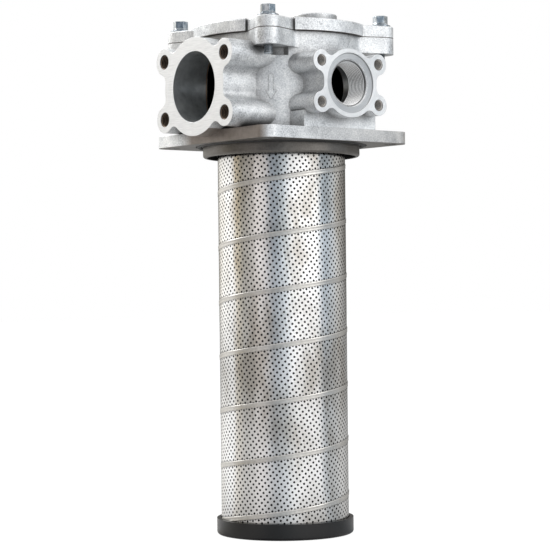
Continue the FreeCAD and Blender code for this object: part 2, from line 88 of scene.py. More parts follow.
# Perforated sleeve and its lock seam
SLEEVE_RADIUS = 69.5 * MM
SHEET = 0.6 * MM
SEAM_PITCH = 59.2 * MM
SEAM_ANGLE = math.radians(231.6)
SEAM_HEIGHT = -37.0 * MM
SEAM_WIDTH = 5.2 * MM
SEAM_TURNS = 9
SEAM_TURNS_BELOW = 7
SEAM_STEPS = 96
HOLE_RADIUS = 1.3 * MM
HOLE_SIDES = 6
TILE_WELD = 0.02 * MM
HOLE_STEP = 6.86 * MM
ROW_STEP = 3.4 * MM
ROWS = 16
SLEEVE_BOTTOM = -409.5 * MM
SLEEVE_TOP = 9.0 * MM
CAP_TOP = -403.7 * MM
SEAM_FOOT_GAP = 0.2 * MM
SEAM_TOP = 0.5 * MM
# the seam's section: rise above the sheet and distance in from its lower or upper edge, in mm
SEAM_LOWER_FOLD = ((-0.5, 0.0), (0.2, 0.1), (0.45, 0.5), (0.5, 1.0), (0.4, 1.5))
SEAM_UPPER_FOLD = ((0.42, 1.9), (0.6, 1.1), (0.5, 0.5), (0.2, 0.1), (-0.5, 0.0))

# Cut threads, in mm: pitch, height of the vee, how deep the turns go in, plain mouth, and steps a turn.
# Their roots stay a hair inside the solid's bore, so that the two surfaces don't coincide.
THREAD_WALL_GAP = 0.02
PIPE_THREAD = {"pitch": 2.309, "height": 1.45, "depth": 30.0, "mouth": 3.2, "steps": 96}
INLET_SCREW_THREAD = {"pitch": 2.0, "height": 1.0, "depth": 28.0, "mouth": 0.8, "steps": 24}
SIDE_SCREW_THREAD = {"pitch": 1.75, "height": 0.9, "depth": 22.0, "mouth": 0.8, "steps": 24}

# Cover bolts, M10 with a flanged head, whose shank and thread run a little way up into the ear
BOLT_CIRCLE = 109.6 * MM
BOLT_SEAT = 127.2 * MM
EAR_BOTTOM = 97.2 * MM
BOLT_TIP = 87.8 * MM
BOLT_RADIUS = 5.0 * MM
BOLT_PITCH = 1.5 * MM
HEAD_FLATS = 14.0 * MM
HEAD_HEIGHT = 11.8 * MM
HEX_FOOT = 2.8 * MM
CROWN_INSET = 1.0 * MM
CROWN_DROP = 0.9 * MM
TIP_RADIUS = 3.5 * MM
TIP_CHAMFER = 0.8 * MM
THREAD_HEIGHT = 0.85 * MM
SHANK_LAP = 2.0 * MM
THREAD_END_LAP = 1.5 * MM
BOLT_STEPS = 32
# each head's turn from its ear's direction, in degrees, from the ear at 45 degrees round
BOLT_TURNS = (20.0, 29.3, 49.6, 35.0)
# the washer flange's section: radius and height above its seat, in mm
BOLT_FLANGE = ((0.0, 0.0), (10.8, 0.0), (11.15, 0.35), (11.15, 1.4), (10.8, 1.7), (9.6, 2.1),
               (8.4, 2.9), (7.5, 4.0), (6.6, 4.6), (0.0, 4.6))

# Bypass valve
SPRING_WIRE = 2.6 * MM
SPRING_TURNS = 4.5
SPRING_SIDES = 10
SPRING_STEPS = 32

# The photograph's camera: sensor and focal length in mm, and the upward shift as a share of the width
CAMERA_SENSOR = 36.0
CAMERA_LENS = 122.08
CAMERA_SHIFT = 0.02315
CAMERA_PLACE = (-1.2728, -1.5912, -0.1540)
CAMERA_RIGHT = (0.7834, -0.6213, -0.01126)
CAMERA_BACK = (-0.6214, -0.7835, 0.0)
STUDIO_STRENGTH = 1.42
FLOOR_HALF = 12.0
FLOOR_GAP = 0.3 * MM


def linear(hex_colour):
    """sRGB hex to linear colour."""
    parts = [int(hex_colour[i:i + 2], 16) / 255.0 for i in (1, 3, 5)]
    return [p / 12.92 if p <= 0.04045 else ((p + 0.055) / 1.055) ** 2.4 for p in parts] + [1.0]


def add(tree, kind, stops=(), **settings):
    """Adds a node with its settings and links.

    i0, i1 and so on name inputs by place, other names are inputs or attributes. A value may be a node,
    whose first output is linked, a socket, an sRGB hex colour, or a number. stops are a colour ramp's
    places and colours.
    """
    made = tree.nodes.new(kind)
    inputs = {}
    for key, value in settings.items():
        if hasattr(made, key):
            setattr(made, key, value)
        else:
            inputs[key] = value
    for key, value in inputs.items():
        place = made.inputs[int(key[1:])] if key[1:].isdigit() else made.inputs[key.replace("_", " ")]
        if isinstance(value, bpy.types.Node):
            value = value.outputs[0]
        if isinstance(value, bpy.types.NodeSocket):
            tree.links.new(value, place)
        elif isinstance(value, str):
            place.default_value = linear(value)
        else:
            place.default_value = value
    if stops:
        elements = made.color_ramp.elements
        while len(elements) < len(stops):
            elements.new(0.5)
        for element, (at, colour) in zip(elements, stops):
            element.position = at
            element.color = linear(colour)
    return made


def new_material(name):
    """A material whose pattern is placed by the object's own coordinates, in metres."""
    made = bpy.data.materials.new(name)
    made.use_nodes = True
    tree = made.node_tree
    tree.nodes.clear()
    place = add(tree, "ShaderNodeTexCoord").outputs["Object"]
    return made, tree, place


def finish_material(tree, **inputs):
    """Ends a material in one principled shader."""
    shader = add(tree, "ShaderNodeBsdfPrincipled", **inputs)
    add(tree, "ShaderNodeOutputMaterial", Surface=shader)


def cast_aluminium_finish():
    """Sand cast aluminium: sparkling grey skin, bright cut port faces, and painted shade on the underside and
    in the chamber.
    """
    made, tree, place = new_material("sand_cast_aluminium")
    axes = add(tree, "ShaderNodeSeparateXYZ", Vector=place)
    z = axes.outputs["Z"]
    from_ports = add(tree, "ShaderNodeVectorMath", operation="SUBTRACT", i0=place, i1=(0.0, 0.0, PORT_HEIGHT))
    masks = {}
    for port, out, across, bore, face in (("inlet", (-1, 0, 0), (0, 1, 1), INLET_BORE, 0.0),
                                          ("side", (0, -1, 0), (1, 0, 1), SIDE_BORE, SPOTFACE_DEPTH)):
        reach = add(tree, "ShaderNodeVectorMath", operation="DOT_PRODUCT", i0=place, i1=out).outputs["Value"]
        flat = add(tree, "ShaderNodeVectorMath", operation="MULTIPLY", i0=from_ports, i1=across)
        radius = add(tree, "ShaderNodeVectorMath", operation="LENGTH", i0=flat).outputs["Value"]
        inside = add(tree, "ShaderNodeMath", operation="LESS_THAN", i0=radius, i1=bore + 0.2 * MM)
        outer = add(tree, "ShaderNodeMath", operation="GREATER_THAN", i0=reach, i1=PORT_REACH - BORE_DEPTH)
        masks[port + "_bore"] = add(tree, "ShaderNodeMath", operation="MULTIPLY", i0=inside, i1=outer)
        masks[port + "_face"] = add(tree, "ShaderNodeMath", operation="GREATER_THAN", i0=reach,
                                    i1=PORT_REACH - face - 0.1 * MM)
        masks[port + "_radius"] = radius
        masks[port + "_reach"] = reach
    faces = add(tree, "ShaderNodeMath", operation="MAXIMUM", i0=masks["inlet_face"], i1=masks["side_face"])
    bores = add(tree, "ShaderNodeMath", operation="MAXIMUM", i0=masks["inlet_bore"], i1=masks["side_bore"])
    machined = add(tree, "ShaderNodeMath", operation="MAXIMUM", i0=faces, i1=bores)
    below = add(tree, "ShaderNodeMath", operation="LESS_THAN", i0=z, i1=0.3 * MM)
    level = add(tree, "ShaderNodeVectorMath", operation="MULTIPLY", i0=place, i1=(1, 1, 0))
    from_axis = add(tree, "ShaderNodeVectorMath", operation="LENGTH", i0=level).outputs["Value"]
    near_axis = add(tree, "ShaderNodeMath", operation="LESS_THAN", i0=from_axis, i1=CHAMBER_RADIUS)
    under_cover = add(tree, "ShaderNodeMath", operation="LESS_THAN", i0=z, i1=CHAMBER_TOP)
    chamber = add(tree, "ShaderNodeMath", operation="MULTIPLY", i0=near_axis, i1=under_cover)

    # shot blast blotches 10 mm across, stains 40 mm, and sand grain, which is drawn 1.6 mm across because
    # the real grain is too fine to show
    grain = add(tree, "ShaderNodeTexNoise", Vector=place, Scale=620.0, Detail=3.0, Roughness=0.7)
    blotch = add(tree, "ShaderNodeTexNoise", Vector=place, Scale=95.0, Detail=4.0, Roughness=0.6)
    stain = add(tree, "ShaderNodeTexNoise", Vector=place, Scale=24.0, Detail=4.0)
    rough = add(tree, "ShaderNodeMath", operation="MULTIPLY_ADD", i0=blotch, i1=0.4, i2=grain)
    mixed = add(tree, "ShaderNodeMath", operation="MULTIPLY_ADD", i0=stain, i1=0.6, i2=rough)
    shade = add(tree, "ShaderNodeMath", operation="MULTIPLY", i0=mixed, i1=0.5)
    skin = add(tree, "ShaderNodeValToRGB", Fac=shade,
               stops=((0.36, "#999c9f"), (0.46, "#cdcfd1"), (0.54, "#e1e3e4"), (0.64, "#fcfcfc")))
    # painted shade: ambient occlusion darkens the corners and the undersides of the pads, and oil darkens the
    # joint of head and cover
    corners = add(tree, "ShaderNodeAmbientOcclusion", samples=6, Distance=13.0 * MM).outputs["AO"]
    corner_shade = add(tree, "ShaderNodeMath", operation="POWER", i0=corners, i1=1.2)
    corner_shaded = add(tree, "ShaderNodeMix", data_type="RGBA", i0=corner_shade, i6="#605d5b", i7=skin).outputs[2]
    joint = add(tree, "ShaderNodeMath", operation="COMPARE", i0=z, i1=SPLIT_HEIGHT, i2=0.45 * MM)
    jointed = add(tree, "ShaderNodeMix", data_type="RGBA", i0=joint, i6=corner_shaded, i7="#57524e").outputs[2]
    # the flange and everything below its top are greyed, most at the outlet end
    edge_low = add(tree, "ShaderNodeMath", operation="LESS_THAN", i0=z, i1=FLANGE_TOP + 0.5 * MM)
    toward_outlet = add(tree, "ShaderNodeMath", operation="MULTIPLY_ADD", use_clamp=True,
                        i0=axes.outputs["X"], i1=0.5 / FLANGE_HALF, i2=0.5)
    grey_end = add(tree, "ShaderNodeMath", operation="MULTIPLY", i0=edge_low, i1=toward_outlet)
    outlet_end_greyed = add(tree, "ShaderNodeMix", data_type="RGBA", blend_type="MULTIPLY", i0=grey_end, i6=jointed,
                  i7="#cfccc9").outputs[2]
    # painted shadow of the inlet pad: the flange's side below it is darkened brown-grey, up to 48 mm aside
    edge_fade = 180.0
    edge_out = add(tree, "ShaderNodeMath", operation="MULTIPLY_ADD", use_clamp=True, i0=axes.outputs["X"],
                   i1=-edge_fade, i2=1.0 - edge_fade * (FLANGE_HALF - 0.5 * MM))
    pad_shadow_fade = 50.0
    pad_shadow_end = add(tree, "ShaderNodeMath", operation="MULTIPLY_ADD", use_clamp=True, i0=axes.outputs["Y"],
                  i1=-pad_shadow_fade, i2=pad_shadow_fade * 48.0 * MM)
    edge_mask = add(tree, "ShaderNodeMath", operation="MULTIPLY", i0=edge_out, i1=edge_low)
    pad_shadow_mask = add(tree, "ShaderNodeMath", operation="MULTIPLY", i0=edge_mask, i1=pad_shadow_end)
    pad_shadow_tone = add(tree, "ShaderNodeMix", data_type="RGBA", i0=blotch, i6="#5d5550", i7="#a39b94").outputs[2]
    pad_shadowed = add(tree, "ShaderNodeMix", data_type="RGBA", i0=pad_shadow_mask, i6=outlet_end_greyed, i7=pad_shadow_tone).outputs[2]
    # the inlet bore's inner lip is worn bright and brown where it breaks into the chamber
    lip = add(tree, "ShaderNodeMath", operation="COMPARE", i0=from_axis, i1=CHAMBER_RADIUS + 0.9 * MM,
              i2=0.8 * MM)
    inner_lip = add(tree, "ShaderNodeMath", operation="MULTIPLY", i0=lip, i1=masks["inlet_bore"])
    # the sunk ring that a sealing washer sits on is duller than the pad round it
    in_pad = add(tree, "ShaderNodeMath", operation="LESS_THAN", i0=masks["side_reach"],
                 i1=PORT_REACH - 1.0 * MM)
    sunk = add(tree, "ShaderNodeMath", operation="MULTIPLY", i0=in_pad, i1=masks["side_face"])
    # cutter marks, drawn coarser than real ones so that they show: rings 0.6 mm apart round the side port,
    # and strokes 0.7 mm apart on the inlet face
    rings = add(tree, "ShaderNodeCombineXYZ", X=masks["side_radius"])
    ring_marks = add(tree, "ShaderNodeTexNoise", Vector=rings, Scale=1800.0, Detail=3.0)
    strokes = add(tree, "ShaderNodeMapping", Vector=place, Scale=(60.0, 60.0, 1400.0))
    stroke_marks = add(tree, "ShaderNodeTexNoise", Vector=strokes, Scale=1.0, Detail=3.0)
    marks = add(tree, "ShaderNodeMix", data_type="FLOAT", i0=masks["side_face"], i2=stroke_marks,
                i3=ring_marks)
    milled = add(tree, "ShaderNodeMix", data_type="RGBA", i0=marks, i6="#bcbebf", i7="#f2f2f2").outputs[2]
    as_cast = add(tree, "ShaderNodeMix", data_type="RGBA", i0=blotch, i6="#8b9092", i7="#f4f7f8").outputs[2]
    walled = add(tree, "ShaderNodeMix", data_type="RGBA", i0=masks["inlet_bore"], i6=milled,
                 i7=as_cast).outputs[2]
    dull = add(tree, "ShaderNodeMix", data_type="RGBA", i0=ring_marks, i6="#7f8183", i7="#d3d5d7").outputs[2]
    ringed = add(tree, "ShaderNodeMix", data_type="RGBA", i0=sunk, i6=walled, i7=dull).outputs[2]
    worked = add(tree, "ShaderNodeMix", data_type="RGBA", i0=inner_lip, i6=ringed, i7="#b8a28c").outputs[2]
    # painted shade: the flange's underside and the collar below it are darker
    underside_shade = add(tree, "ShaderNodeMix", data_type="RGBA", i0=shade, i6="#322f2c", i7="#8d8984").outputs[2]
    bright = add(tree, "ShaderNodeMix", data_type="RGBA", i0=machined, i6=pad_shadowed, i7=worked).outputs[2]
    lower = add(tree, "ShaderNodeMix", data_type="RGBA", i0=below, i6=bright, i7=underside_shade).outputs[2]
    # painted shade: the chamber inside, under the cover, is near black
    tone = add(tree, "ShaderNodeMix", data_type="RGBA", i0=chamber, i6=lower, i7="#141414").outputs[2]
    # the cast skin is duller and rougher than the cut faces, and its edges are rounder
    gloss_cast = add(tree, "ShaderNodeMath", operation="MULTIPLY_ADD", i0=blotch, i1=0.3, i2=0.32)
    gloss_cut = add(tree, "ShaderNodeMath", operation="MULTIPLY_ADD", i0=marks, i1=0.2, i2=0.26)
    smooth = add(tree, "ShaderNodeMath", operation="MAXIMUM", i0=machined, i1=below)
    gloss = add(tree, "ShaderNodeMix", data_type="FLOAT", i0=smooth, i2=gloss_cast, i3=gloss_cut)
    edge_size = add(tree, "ShaderNodeMix", data_type="FLOAT", i0=smooth, i2=0.8 * MM, i3=0.4 * MM)
    edge = add(tree, "ShaderNodeBevel", samples=6, Radius=edge_size)
    grain_depth = add(tree, "ShaderNodeMix", data_type="FLOAT", i0=smooth, i2=0.5, i3=0.06)
    sand = add(tree, "ShaderNodeBump", Distance=0.5 * MM, Height=grain, Strength=grain_depth, Normal=edge)
    turned = add(tree, "ShaderNodeMath", operation="MULTIPLY", i0=masks["side_face"], i1=0.5)
    grooves = add(tree, "ShaderNodeBump", Distance=0.5 * MM, Height=ring_marks, Strength=turned, Normal=sand)
    waves = add(tree, "ShaderNodeBump", Distance=1.5 * MM, Height=blotch, Strength=0.3, Normal=grooves)
    finish_material(tree, Base_Color=tone, Metallic=0.82, Roughness=gloss, Normal=waves)
    return made


def tinned_sheet_finish():
    """Tinned steel sheet: bright, faintly stained and dented, with fine rolling lines round the sleeve."""
    made, tree, place = new_material("tinned_steel_sheet")
    # stains 45 mm wide and 110 mm tall, and rolling lines, drawn 1.1 mm apart because real ones are too
    # fine to show
    around = add(tree, "ShaderNodeMapping", Vector=place, Scale=(22.0, 22.0, 9.0))
    stain = add(tree, "ShaderNodeTexNoise", Vector=around, Scale=1.0, Detail=5.0, Roughness=0.65)
    rolled = add(tree, "ShaderNodeMapping", Vector=place, Scale=(30.0, 30.0, 900.0))
    lines = add(tree, "ShaderNodeTexNoise", Vector=rolled, Scale=1.0, Detail=3.0)
    tone = add(tree, "ShaderNodeValToRGB", Fac=stain,
               stops=((0.36, "#c9c5bf"), (0.47, "#e4e3e1"), (0.6, "#f5f5f5")))
    # painted shade: ambient occlusion darkens the sleeve where it goes into the head and into the cap
    near = add(tree, "ShaderNodeAmbientOcclusion", samples=4, Distance=60.0 * MM).outputs["AO"]
    shaded = add(tree, "ShaderNodeMix", data_type="RGBA", i0=near, i6="#5f5a54", i7=tone).outputs[2]
    gloss = add(tree, "ShaderNodeMath", operation="MULTIPLY_ADD", i0=stain, i1=0.3, i2=0.04)
    dents = add(tree, "ShaderNodeBump", Distance=2.0 * MM, Height=stain, Strength=0.35)
    bump = add(tree, "ShaderNodeBump", Distance=0.2 * MM, Height=lines, Strength=0.12, Normal=dents)
    finish_material(tree, Base_Color=shaded, Metallic=1.0, Roughness=gloss, Normal=bump)
    return made


def zinc_finish():
    """Zinc plated steel with a thin blue passivation, which gives the bolts a cool grey gloss."""
    made, tree, place = new_material("blue_zinc_plate")
    # the plating's clouds are 4 mm across
    cloud = add(tree, "ShaderNodeTexNoise", Vector=place, Scale=260.0, Detail=4.0)
    tone = add(tree, "ShaderNodeValToRGB", Fac=cloud,
               stops=((0.38, "#8f989f"), (0.5, "#a6adb3"), (0.62, "#c0c5c9")))
    # painted shade: ambient occlusion darkens the gap under the flange and the thread's grooves
    open_sky = add(tree, "ShaderNodeAmbientOcclusion", samples=6, Distance=1.6 * MM).outputs["AO"]
    contrast = add(tree, "ShaderNodeMath", operation="POWER", i0=open_sky, i1=1.5)
    shaded = add(tree, "ShaderNodeMix", data_type="RGBA", i0=contrast, i6="#15181b", i7=tone).outputs[2]
    gloss = add(tree, "ShaderNodeMath", operation="MULTIPLY_ADD", i0=cloud, i1=0.12, i2=0.06)
    edge = add(tree, "ShaderNodeBevel", samples=6, Radius=0.7 * MM)
    bump = add(tree, "ShaderNodeBump", Distance=0.3 * MM, Height=cloud, Strength=0.08, Normal=edge)
    finish_material(tree, Base_Color=shaded, Metallic=1.0, Roughness=gloss, Normal=bump)
    return made


def thread_finish(name, root, crest):
    """Cut aluminium thread: bright torn crests over painted shade in the grooves, found by how closed in they
    lie.
    """
    made, tree, place = new_material(name)
    # tearing, drawn 1.4 mm across because real tearing is too fine to show
    torn = add(tree, "ShaderNodeTexNoise", Vector=place, Scale=700.0, Detail=4.0)
    open_sky = add(tree, "ShaderNodeAmbientOcclusion", samples=6, Distance=1.6 * MM).outputs["AO"]
    contrast = add(tree, "ShaderNodeMath", operation="POWER", i0=open_sky, i1=3.0)
    crests = add(tree, "ShaderNodeMix", data_type="RGBA", i0=contrast, i6=root, i7=crest).outputs[2]
    tone = add(tree, "ShaderNodeMix", data_type="RGBA", blend_type="MULTIPLY", i0=0.25, i6=crests,
               i7=torn).outputs[2]
    gloss = add(tree, "ShaderNodeMath", operation="MULTIPLY_ADD", i0=torn, i1=0.3, i2=0.18)
    finish_material(tree, Base_Color=tone, Metallic=0.95, Roughness=gloss)
    return made


def media_finish():
    """Pleated glass fibre behind the holes: painted shade, mostly near black, with paler folds at random."""
    made, tree, place = new_material("glass_fibre_media")
    # folds 7 mm across, and fibres, drawn 0.7 mm thick because real ones are far too fine to show
    folds = add(tree, "ShaderNodeTexNoise", Vector=place, Scale=150.0, Detail=2.0)
    fibres = add(tree, "ShaderNodeTexNoise", Vector=place, Scale=1400.0, Detail=3.0)
    tone = add(tree, "ShaderNodeValToRGB", Fac=folds,
               stops=((0.58, "#010101"), (0.66, "#1c1b19"), (0.74, "#55524c")))
    bump = add(tree, "ShaderNodeBump", Distance=0.3 * MM, Height=fibres, Strength=0.5)
    finish_material(tree, Base_Color=tone, Roughness=0.85, Normal=bump)
    return made


def moulded_finish(name, low, high, rough, fine, metal=0.0):
    """A moulded or drawn surface: a mottle between two tones, fine times a metre, that varies the gloss."""
    made, tree, place = new_material(name)
    mottle = add(tree, "ShaderNodeTexNoise", Vector=place, Scale=fine, Detail=4.0, Roughness=0.55)
    tone = add(tree, "ShaderNodeMix", data_type="RGBA", i0=mottle, i6=low, i7=high).outputs[2]
    gloss = add(tree, "ShaderNodeMath", operation="MULTIPLY_ADD", i0=mottle, i1=0.12, i2=rough - 0.06)
    bump = add(tree, "ShaderNodeBump", Distance=0.2 * MM, Height=mottle, Strength=0.2)
    finish_material(tree, Base_Color=tone, Metallic=metal, Roughness=gloss, Normal=bump)
    return made


def finish_piece(name, bm, material, smooth):
    """Makes a bmesh a named piece on the filter's body, and keeps edges over smooth degrees sharp."""
    mesh = bpy.data.meshes.new(name)
    bm.to_mesh(mesh)
    bm.free()
    piece = bpy.data.objects.new(name, mesh)
    bpy.context.scene.collection.objects.link(piece)
    mesh.materials.append(material)
    mesh.shade_smooth()
    mesh.set_sharp_from_angle(angle=math.radians(smooth))
    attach(piece, FILTER)
    return piece


def trim(bm, low, high, fill=False):
    """Cuts away what lies below low and above high, and closes the cuts where fill says so."""
    for level, way in ((low, -1), (high, 1)):
        cut = bmesh.ops.bisect_plane(bm, geom=bm.verts[:] + bm.edges[:] + bm.faces[:], dist=CUT_TOLERANCE,
                                     plane_co=(0, 0, level), plane_no=(0, 0, way), clear_outer=True)
        if fill:
            rim = [g for g in cut["geom_cut"] if isinstance(g, bmesh.types.BMEdge)]
            bmesh.ops.holes_fill(bm, edges=rim, sides=0)


def hole_tiles():
    """Two diamond tiles of sheet, each with one hole through it and open sides that its neighbours close."""
    middles = ((0.0, 0.0), (HOLE_STEP / 2, ROW_STEP))
    bm = bmesh.new()
    for column, row in middles:
        outer = bmesh.ops.create_circle(bm, segments=4, radius=HOLE_STEP / 2)["verts"]
        inner = bmesh.ops.create_circle(bm, segments=HOLE_SIDES, radius=HOLE_RADIUS)["verts"]
        bmesh.ops.scale(bm, vec=(1.0, 2.0 * ROW_STEP / HOLE_STEP, 1.0), verts=outer)
        bmesh.ops.translate(bm, vec=(column, row, 0.0), verts=outer + inner)
        loops = list({e for v in outer + inner for e in v.link_edges})
        bmesh.ops.bridge_loops(bm, edges=loops)
    bmesh.ops.recalc_face_normals(bm, faces=bm.faces)
    if bm.faces[:][0].normal.z < 0:
        bmesh.ops.reverse_faces(bm, faces=bm.faces)
    top = list(bm.faces)
    sunk = bmesh.ops.extrude_face_region(bm, geom=top, use_keep_orig=True)["geom"]
    bmesh.ops.translate(bm, vec=(0, 0, -SHEET), verts=[g for g in sunk if isinstance(g, bmesh.types.BMVert)])
    # the upright faces further out than the hole's wall are the tile's sides
    hole_wall = 1.3 * HOLE_RADIUS
    sides = []
    for face in bm.faces:
        centre = face.calc_center_median()
        from_hole = min(math.hypot(centre.x - column, centre.y - row) for column, row in middles)
        if abs(face.normal.z) < 0.5 and from_hole > hole_wall:
            sides.append(face)
    bmesh.ops.delete(bm, geom=sides, context="FACES")
    mesh = bpy.data.meshes.new("strip_tile")
    bm.to_mesh(mesh)
    bm.free()
    tile = bpy.data.objects.new("strip_tile", mesh)
    bpy.context.scene.collection.objects.link(tile)
    return tile


def seam_start():
    """The height at which the seam's lowest turn starts, at the angle 0."""
    return SEAM_HEIGHT - SEAM_PITCH * SEAM_ANGLE / (2 * math.pi) - SEAM_TURNS_BELOW * SEAM_PITCH


def perforated_strip():
    """The perforated strip, laid out flat in rows of holes and then wound between two seam turns."""
    tile = hole_tiles()
    slope = math.atan(SEAM_PITCH / (2 * math.pi * SLEEVE_RADIUS))
    start = seam_start() + SEAM_PITCH / 2
    length = (SLEEVE_TOP + SEAM_PITCH / 2 - start) / math.sin(slope)
    for count, offset in ((ROWS // 2, (0.0, 2 * ROW_STEP, 0.0)),
                          (math.ceil(length / HOLE_STEP), (HOLE_STEP, 0.0, 0.0))):
        rows = tile.modifiers.new("rows", "ARRAY")
        rows.count = count
        rows.use_relative_offset = False
        rows.use_constant_offset = True
        rows.constant_offset_displace = offset
    bpy.context.view_layer.update()
    flat = bpy.data.meshes.new_from_object(tile.evaluated_get(bpy.context.evaluated_depsgraph_get()))
    bpy.data.objects.remove(tile)
    strip = bmesh.new()
    strip.from_mesh(flat)
    bpy.data.meshes.remove(flat)
    bmesh.ops.remove_doubles(strip, verts=strip.verts, dist=TILE_WELD)
    middle = (ROWS - 1) * ROW_STEP / 2
    for v in strip.verts:
        along, across = v.co.x, v.co.y - middle
        around = (along * math.cos(slope) - across * math.sin(slope)) / SLEEVE_RADIUS
        height = start + along * math.sin(slope) + across * math.cos(slope)
        reach = SLEEVE_RADIUS + v.co.z
        v.co = (reach * math.cos(around), reach * math.sin(around), height)
    return strip


def perforated_sleeve(material):
    """The wound strip as two pieces that meet halfway, so that each stays under 200,000 triangles."""
    halfway = (SLEEVE_TOP + SLEEVE_BOTTOM) / 2
    made = []
    for name, low, high in (("sleeve_sheet_lower", SLEEVE_BOTTOM, halfway),
                            ("sleeve_sheet_upper", halfway, SLEEVE_TOP)):
        strip = perforated_strip()
        trim(strip, low, high)
        made.append(finish_piece(name, strip, material, smooth=40))
    return made


def sleeve_seam(material):
    """The lock seam that joins the strip's edges: a folded band with a raised border on each side."""
    half = SEAM_WIDTH / 2
    profile = [(rise * MM, inset * MM - half) for rise, inset in SEAM_LOWER_FOLD]
    profile += [(rise * MM, half - inset * MM) for rise, inset in SEAM_UPPER_FOLD]
    bm = bmesh.new()
    corners = [bm.verts.new((SLEEVE_RADIUS + rise, 0, z)) for rise, z in profile]
    edges = [bm.edges.new((corners[i], corners[(i + 1) % len(corners)])) for i in range(len(corners))]
    bmesh.ops.spin(bm, geom=corners + edges, cent=(0, 0, 0), axis=(0, 0, 1),
                   dvec=(0, 0, SEAM_PITCH / SEAM_STEPS), angle=SEAM_TURNS * 2 * math.pi,
                   steps=SEAM_TURNS * SEAM_STEPS)
    bmesh.ops.translate(bm, vec=(0, 0, seam_start()), verts=bm.verts)
    trim(bm, CAP_TOP + SEAM_FOOT_GAP, SEAM_TOP, fill=True)
    bmesh.ops.recalc_face_normals(bm, faces=bm.faces)
    return finish_piece("sleeve_seam", bm, material, smooth=35)


def thread_turns(bm, root, crest, pitch, low, high, segments):
    """A vee thread about Z between two levels, for a hole when root is larger than crest."""
    first = len(bm.verts)
    flat = pitch / 8
    points = ((root, 0.0), (root, flat), (crest, pitch / 2), (crest, pitch / 2 + flat), (root, pitch))
    corners = [bm.verts.new((r, 0, low - pitch + z)) for r, z in points]
    edges = [bm.edges.new(pair) for pair in zip(corners, corners[1:])]
    turns = math.ceil((high - low) / pitch) + 1
    bmesh.ops.spin(bm, geom=corners + edges, cent=(0, 0, 0), axis=(0, 0, 1), dvec=(0, 0, pitch / segments),
                   angle=turns * 2 * math.pi, steps=turns * segments)
    bm.verts.ensure_lookup_table()
    bmesh.ops.remove_doubles(bm, verts=bm.verts[first:], dist=WELD)
    trim(bm, low, high)


def face_the_axis(bm, inward):
    """Turns the faces of a thread about Z toward its axis, or away from it."""
    bmesh.ops.recalc_face_normals(bm, faces=bm.faces)
    total = sum(f.normal.dot(Vector((f.calc_center_median().x, f.calc_center_median().y, 0)).normalized())
                * f.calc_area() for f in bm.faces)
    if (total > 0) == inward:
        bmesh.ops.reverse_faces(bm, faces=bm.faces)


def tapped_threads(bright, brown, worn):
    """Threads in the side port and in the eight tapped holes round the two ports."""
    up = Vector((0, 0, 1))
    jobs = (("side_port_thread", "side_thread", PIPE_THREAD, bright),
            ("inlet_screw_threads", "inlet_bolts", INLET_SCREW_THREAD, brown),
            ("side_screw_threads", "side_bolts", SIDE_SCREW_THREAD, worn))
    for name, mount_name, thread, finish in jobs:
        mount = mounts[mount_name]
        dims = mount["dims"]
        radius = dims.get("r_mm", dims.get("hole_r_mm"))
        across = dims.get("spacing_x_mm", 0.0) / 2
        along = dims.get("spacing_y_mm", 0.0) / 2
        signs = (-1, 1) if across else (0,)
        outward = Vector(mount["axis"])
        face = Vector(mount["pos_m"])
        face -= outward * (face.dot(outward) - PORT_REACH)
        aside = up.cross(outward)
        turn = Matrix((aside, up, outward)).transposed().to_4x4()
        whole = bmesh.new()
        for u, v in [(u * across, v * along) for u in signs for v in signs]:
            bm = bmesh.new()
            thread_turns(bm, (radius - THREAD_WALL_GAP) * MM, (radius - thread["height"]) * MM,
                         thread["pitch"] * MM, -thread["depth"] * MM, -thread["mouth"] * MM, thread["steps"])
            face_the_axis(bm, True)
            bmesh.ops.transform(bm, matrix=turn, verts=bm.verts)
            bmesh.ops.translate(bm, vec=face + aside * u * MM + up * v * MM, verts=bm.verts)
            part = bpy.data.meshes.new("one_thread")
            bm.to_mesh(part)
            bm.free()
            whole.from_mesh(part)
            bpy.data.meshes.remove(part)
        finish_piece(name, whole, finish, smooth=25)


def revolved(bm, points, segments=48):
    """Adds a closed turned shape: points of radius and height, spun round Z."""
    corners = [bm.verts.new((r, 0, z)) for r, z in points]
    edges = [bm.edges.new(pair) for pair in zip(corners, corners[1:])]
    bmesh.ops.spin(bm, geom=corners + edges, cent=(0, 0, 0), axis=(0, 0, 1), angle=2 * math.pi,
                   steps=segments, use_merge=True)


